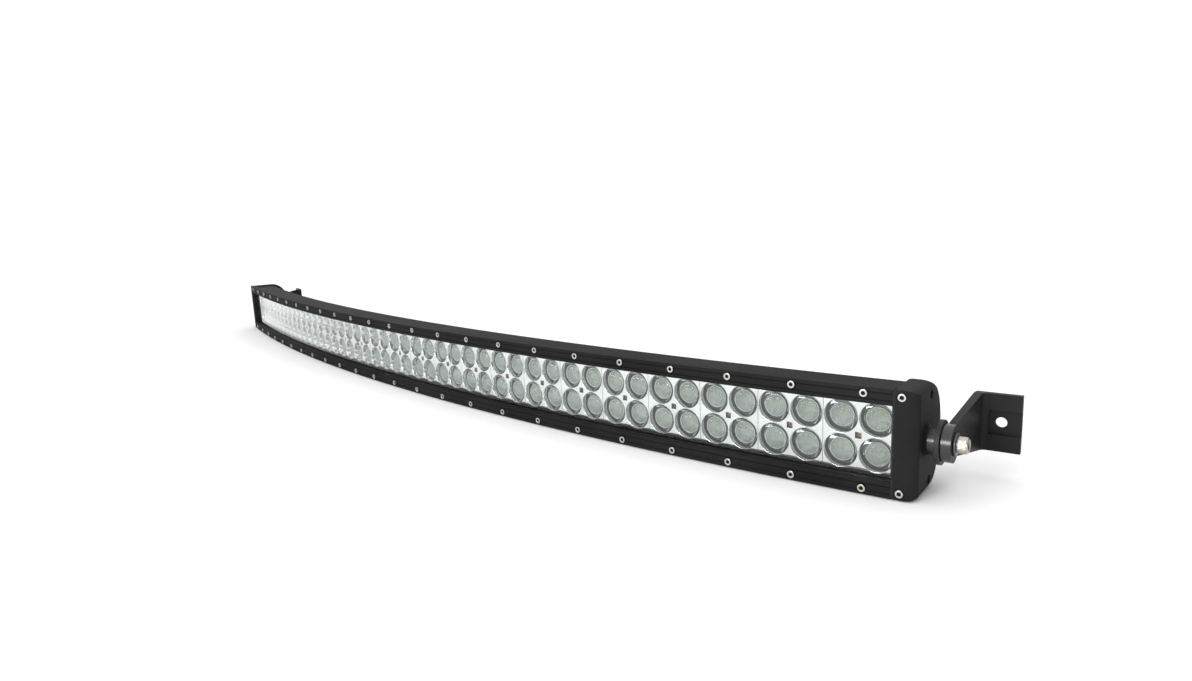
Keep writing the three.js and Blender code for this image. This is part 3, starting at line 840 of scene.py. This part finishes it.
def make_cap(name):
    bm = bmesh.new()
    layers = [(CAP_INNER, 0), (CAP_INNER + 0.01, 0), *CAP_DOME]
    loft(bm, [[Vector((out, d, h)) for d, h in cap_outline(inset)] for out, inset in layers])
    cap = to_object(name, bm)
    boss = bmesh.new()
    turned(boss, [
        (circle(BOSS_RADIUS + 2), CAP_OUTER - 2), (circle(BOSS_RADIUS + 2), CAP_OUTER + 0.01),
        (circle(BOSS_RADIUS + 1), CAP_OUTER + 0.3), (circle(BOSS_RADIUS + 0.3), CAP_OUTER + 0.9),
        (circle(BOSS_RADIUS), CAP_OUTER + 1.8), (circle(BOSS_RADIUS), BOSS_OUT - 0.6),
        (circle(BOSS_RADIUS - 0.2), BOSS_OUT - 0.2), (circle(BOSS_RADIUS - 0.6), BOSS_OUT),
    ], 48, AT_PIVOT)
    combine(cap, to_object("boss", boss), "UNION")
    holes = bmesh.new()
    for up in (-1, 1):
        corner = Matrix.Translation((CORNER_SCREW_OUT, 0, CORNER_SCREW_HEIGHT * up))
        turned(holes, [(circle(SCREW_SEAT), -2), (circle(SCREW_SEAT), 2.6)], 32, corner)
        side = Matrix.Translation((0, SIDE_SCREW_DEPTH, SIDE_SCREW_HEIGHT * up)) @ OUTWARDS
        turned(holes, [(circle(SCREW_SEAT), out) for out in (SIDE_SEAT_FLOOR, 20)], 32, side)
    combine(cap, to_object("holes", holes))
    return mark_round(cap, BOSS_RADIUS, CAP_OUTER + 0.5, BOSS_OUT)


def make_cap_gasket(name):
    """The seal between a cap and the bar's end, nearly flush with the cap."""
    bm = bmesh.new()
    rim = cap_outline(GASKET_INSET)
    shrink = 1 - 2 * GASKET_WALL / CAP_DEPTH
    hole = [(GASKET_WALL + depth * shrink, height * 0.9) for depth, height in rim]
    loops = [rim, rim, hole, hole]
    outs = [CAP_INNER - GASKET_OUT, GASKET_OUT, GASKET_OUT, CAP_INNER - GASKET_OUT]
    loft(bm, [[Vector((out, d, h)) for d, h in loop] for out, loop in zip(outs, loops)], closed=True)
    return to_object(name, bm)


def make_cap_screws(name, kind):
    bm = bmesh.new()
    for up in (-1, 1):
        if kind == "corner":
            spot = Matrix.Translation((CORNER_SCREW_OUT, 0, CORNER_SCREW_HEIGHT * up))
            spot = spot @ Matrix.Rotation(up, 4, "Y")
        else:
            at = (SIDE_SCREW_OUT, SIDE_SCREW_DEPTH, SIDE_SCREW_HEIGHT * up)
            spot = Matrix.Translation(at) @ OUTWARDS @ Matrix.Rotation(math.pi, 4, "Z")
        socket_screw(bm, spot, SCREW_HEAD, CAP_SCREW_LENGTH, SCREW_SOCKET, SCREW_SOCKET_DEPTH)
    return to_object(name, bm)


for word, side in ENDS.items():
    place = TO_METRES @ end_place(side)
    piece(
        make_cap(f"{word}_cap_casting"), [CASTING, TURNED_BLACK], "lamp",
        [f"{word}_end_cap"], place=place,
    )
    piece(
        make_cap_gasket(f"{word}_cap_seal"), [RUBBER], "lamp",
        [f"{word}_cap_gasket"], place=place,
    )
    for kind, surface in (("corner", STAINLESS), ("side", BLACK_OXIDE)):
        piece(
            make_cap_screws(f"{word}_{kind}_screws", kind), [surface, SOCKET_PAINTED_SHADE], "lamp",
            [f"{word}_{row}_{kind}_screw" for row in ("upper", "lower")], place=place,
        )


# ---- Pivots ----
SPACER = (24.3, 27.5, 15.4)
HUB = (27.8, 34.4, 12.9)
WASHER = (34.7, 36, 8)
BOLT_HEAD, BOLT_FROM, BOLT_HEAD_LENGTH = 5.7, 36.3, 6.8
BOLT_SEGMENTS = 144
KNURL_DEPTH, KNURL_RIDGES = 0.28, 36
BORE = 4.3


def make_bolt(name):
    """A knurled socket-head bolt, with its shank through the hub."""
    bm = bmesh.new()
    top = BOLT_FROM + BOLT_HEAD_LENGTH
    ridged = knurl(BOLT_HEAD, KNURL_DEPTH, KNURL_RIDGES)
    smooth = circle(BOLT_HEAD - KNURL_DEPTH)
    faces = turned(bm, [
        (circle(4), 2), (circle(4), BOLT_FROM), (smooth, BOLT_FROM), (smooth, BOLT_FROM + 0.5),
        (ridged, BOLT_FROM + 0.9), (ridged, top - 1.4), (smooth, top - 1.0), (smooth, top - 0.6),
        (circle(BOLT_HEAD - 0.7), top - 0.15), (circle(BOLT_HEAD - 1.3), top),
        (circle(3.5), top), (circle(3.1), top - 0.25),
        (hexagon(2.6), top - 0.5), (hexagon(2.6), top - 4),
    ], BOLT_SEGMENTS, AT_PIVOT)
    paint_socket_shade(faces, BOLT_SEGMENTS)
    return to_object(name, bm)


def make_ring(name, start, stop, outer):
    """A washer or spacer with eased edges, round the pivot."""
    bm = bmesh.new()
    ease = 0.25
    turned(bm, [
        (circle(BORE), start + ease), (circle(BORE + ease), start), (circle(outer - ease), start),
        (circle(outer), start + ease), (circle(outer), stop - ease), (circle(outer - ease), stop),
        (circle(BORE + ease), stop), (circle(BORE), stop - ease),
    ], 48, AT_PIVOT, closed=True)
    return to_object(name, bm)


for word, side in ENDS.items():
    place = TO_METRES @ end_place(side)
    piece(
        make_bolt(f"{word}_bolt"), [BOLT_STEEL, SOCKET_PAINTED_SHADE], "lamp",
        [f"{word}_pivot_bolt"], place=place,
    )
    piece(
        make_ring(f"{word}_spacer", *SPACER), [NYLON], "lamp",
        [f"{word}_pivot_spacer"], place=place,
    )
    piece(
        make_ring(f"{word}_washer", *WASHER), [BLACK_OXIDE], "lamp",
        [f"{word}_pivot_washer"], place=place,
    )


# ---- Brackets ----
LEG_INNER, LEG_THICK, LEG_STRAIGHT, LEG_LEAN = 28.3, 5.4, 34, 4.7
LEG_END_RADIUS, LEG_END_REACH = 12.4, 29
FLARE_END = 84
EDGE_ROUND = 0.7
FOOT_FRONT, FOOT_BACK, FOOT_OUT, FOOT_HALF, FOOT_FILLET = 86.5, 91, 64.2, 21.3, 4
FOOT_CHANNEL_FROM, FOOT_CHANNEL_HALF, FOOT_CHANNEL_DEPTH = 43, 9, 2.6
FOOT_HOLE_OUT, FOOT_HOLE_RADIUS = 50.9, 3.8


def quarter_turn(cx, cz, radius, start, stop, count):
    """Points on part of a circle, from one angle to another in degrees."""
    angles = [math.radians(start + (stop - start) * i / count) for i in range(count + 1)]
    return [(cx + radius * math.cos(a), cz + radius * math.sin(a)) for a in angles]


def leg_plan():
    """(out, depth) points of the bracket seen from above."""
    lean = LEG_INNER + LEG_LEAN
    front = PIVOT_DEPTH - LEG_END_RADIUS
    fillet = quarter_turn(
        lean + LEG_THICK + FOOT_FILLET, FOOT_FRONT - FOOT_FILLET, FOOT_FILLET, 180, 90, 6
    )
    return [
        (LEG_INNER, front), (LEG_INNER + LEG_THICK, front), (LEG_INNER + LEG_THICK, LEG_STRAIGHT),
        *fillet, (FOOT_OUT, FOOT_FRONT), (FOOT_OUT, FOOT_BACK), (lean + 1.2, FOOT_BACK),
        (lean + 0.2, FOOT_BACK - 1.2), (LEG_INNER, LEG_STRAIGHT),
    ]


def flare_side():
    """(depth, height) points of the bracket seen along the pivot."""
    rise = math.sqrt(LEG_END_RADIUS**2 - (LEG_END_REACH - PIVOT_DEPTH) ** 2)
    turn = math.degrees(math.atan2(rise, LEG_END_REACH - PIVOT_DEPTH))
    upper = [(FOOT_BACK + 1, FOOT_HALF), (FLARE_END, FOOT_HALF), (LEG_END_REACH, rise)]
    nose = quarter_turn(PIVOT_DEPTH, 0, LEG_END_RADIUS, turn, 360 - turn, 40)
    return upper + nose[1:-1] + [(depth, -height) for depth, height in reversed(upper)]


def prism(outline, to_point, start, stop):
    """A solid between two copies of a flat outline."""
    bm = bmesh.new()
    loft(bm, [[to_point(a, b, c) for a, b in outline] for c in (start, stop)])
    return to_object("prism", bm)


def slab(x0, x1, y0, y1, z0, z1):
    corners = [(x0, y0), (x1, y0), (x1, y1), (x0, y1)]
    return prism(corners, lambda x, y, z: Vector((x, y, z)), z0, z1)


def make_bracket(name):
    leg = prism(
        leg_plan(), lambda out, depth, z: Vector((out, depth, z)), -FOOT_HALF - 1, FOOT_HALF + 1
    )
    flare = prism(
        flare_side(), lambda depth, z, out: Vector((out, depth, z)), LEG_INNER - 5, FOOT_OUT + 5
    )
    combine(leg, flare, "INTERSECT")
    channel = slab(
        FOOT_CHANNEL_FROM, FOOT_OUT + 1, FOOT_FRONT - 10, FOOT_FRONT + FOOT_CHANNEL_DEPTH,
        -FOOT_CHANNEL_HALF, FOOT_CHANNEL_HALF,
    )
    combine(leg, channel)
    hub = bmesh.new()
    start, stop, outer = HUB
    turned(hub, [(circle(outer), start), (circle(outer), stop)], 64, AT_PIVOT)
    combine(leg, to_object("hub", hub), "UNION")
    holes = bmesh.new()
    turned(holes, [(circle(BORE), start - 1), (circle(BORE), stop + 1)], 32, AT_PIVOT)
    foot = Matrix.Translation((FOOT_HOLE_OUT, 0, 0))
    foot_hole = [(circle(FOOT_HOLE_RADIUS), depth) for depth in (FOOT_FRONT - 1, FOOT_BACK + 1)]
    turned(holes, foot_hole, 40, foot)
    combine(leg, to_object("bores", holes))
    rounded(leg, EDGE_ROUND, 3)
    leg.name = name
    return mark_round(leg, outer, start, stop)


for word, side in ENDS.items():
    piece(
        make_bracket(f"{word}_bracket_arm"), [BRACKET_COAT, TURNED_BLACK], f"{word}_bracket",
        [f"{word}_bracket"], place=TO_METRES @ end_place(side), smooth=30,
    )


# ---- CAD nodes that keep their shape ----
KEPT = {
    RUBBER: ["lens_gasket", "cable_gland_seal"],
    MASK_WHITE: [f"led_board_{i}" for i in (1, 2, 3, 4)],
    MASK_GREEN: ["driver_board"],
    STAINLESS: ["right_pivot_nut", "left_pivot_nut"],
    NYLON: ["cable_gland_body", "cable_gland_nut", "breather_vent"],
}
for surface, names in KEPT.items():
    for name in names:
        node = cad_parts[name]
        node.data.materials.clear()
        node.data.materials.append(surface)


# ---- Stage, light and camera ----
BACKDROP = (-0.745, 0.667, 0)  # the way to the white backdrop
BACKDROP_LIGHT, BACKDROP_EDGE = 1.02, (0.45, 0.7)
ROOM_LIGHT, CEILING_LIGHT, CEILING_EDGE = 0.2, 1.4, (0.25, 0.75)
FLOOR_REACH = 12
FLOOR_DROP = 0.0005
CAMERA_AT = Vector((0.8498, -0.49655, 0.2089))
CAMERA_YAW, CAMERA_PITCH, CAMERA_ROLL = -0.84134, -0.18196, -0.04133
CAMERA_LENS = 23.5


def make_floor():
    bm = bmesh.new()
    bmesh.ops.create_grid(bm, x_segments=8, y_segments=8, size=FLOOR_REACH)
    mesh = bpy.data.meshes.new("floor")
    bm.to_mesh(mesh)
    bm.free()
    floor = linked("floor", mesh)
    floor.location.z = -FLOOR_DROP
    n = Nodes("floor_paper")
    tint = n.noise(3, detail=2)
    n.link(n.colours(tint, (0.93, 0.93, 0.93), (0.95, 0.95, 0.95)), n.shader.inputs["Base Color"])
    n.set(Roughness=0.9, Specular_IOR_Level=0.1)
    mesh.materials.append(n.material)


def make_world():
    """White behind the lamp; in front of it a dim room under a large bright ceiling."""
    world = bpy.data.worlds.new("studio")
    scene.world = world
    world.use_nodes = True
    tree = world.node_tree
    shader = tree.nodes["Background"]

    def node(kind):
        return tree.nodes.new(kind)

    def ramp(value, low, high, start, stop):
        step = node("ShaderNodeMapRange")
        step.interpolation_type = "SMOOTHSTEP"
        for key, number in zip(MAP_SOCKETS, (start, stop, low, high)):
            step.inputs[key].default_value = number
        tree.links.new(value, step.inputs["Value"])
        return step.outputs["Result"]

    def larger(first, second):
        pick = node("ShaderNodeMath")
        pick.operation = "MAXIMUM"
        tree.links.new(first, pick.inputs[0])
        tree.links.new(second, pick.inputs[1])
        return pick.outputs["Value"]

    direction = node("ShaderNodeTexCoord").outputs["Generated"]
    split = node("ShaderNodeSeparateXYZ")
    tree.links.new(direction, split.inputs["Vector"])
    towards = node("ShaderNodeVectorMath")
    towards.operation = "DOT_PRODUCT"
    towards.inputs[1].default_value = BACKDROP
    tree.links.new(direction, towards.inputs[0])
    behind = ramp(towards.outputs["Value"], 0.0, BACKDROP_LIGHT, *BACKDROP_EDGE)
    above = ramp(split.outputs["Z"], ROOM_LIGHT, CEILING_LIGHT, *CEILING_EDGE)
    tree.links.new(larger(behind, above), shader.inputs["Strength"])
    shader.inputs["Color"].default_value = (1, 1, 1, 1)


def soft_light(name, at, aim, width, height, power):
    data = bpy.data.lights.new(name, "AREA")
    data.shape = "RECTANGLE"
    data.size, data.size_y = width, height
    data.energy = power
    lamp = linked(name, data)
    lamp.location = at
    lamp.rotation_euler = (Vector(aim) - Vector(at)).to_track_quat("-Z", "Y").to_euler()


def make_camera():
    yaw, pitch, roll = CAMERA_YAW, CAMERA_PITCH, CAMERA_ROLL
    ahead = Vector((math.sin(yaw) * math.cos(pitch), math.cos(yaw) * math.cos(pitch), math.sin(pitch)))
    right = Vector((math.cos(yaw), -math.sin(yaw), 0))
    up = right.cross(ahead)
    level = math.cos(roll) * right + math.sin(roll) * up
    upright = math.cos(roll) * up - math.sin(roll) * right
    data = bpy.data.cameras.new("camera")
    data.lens = CAMERA_LENS
    data.sensor_width = 36
    data.clip_start, data.clip_end = 0.05, 60
    camera = linked("camera", data)
    turn = Matrix((level, upright, -ahead)).transposed().to_4x4()
    camera.matrix_world = Matrix.Translation(CAMERA_AT) @ turn
    scene.camera = camera


make_floor()
make_world()
soft_light("front_box", (0.5, -1.5, 0.5), (0.4, 0, 0.04), 0.6, 0.5, 14)
make_camera()
scene.view_settings.view_transform = "Standard"
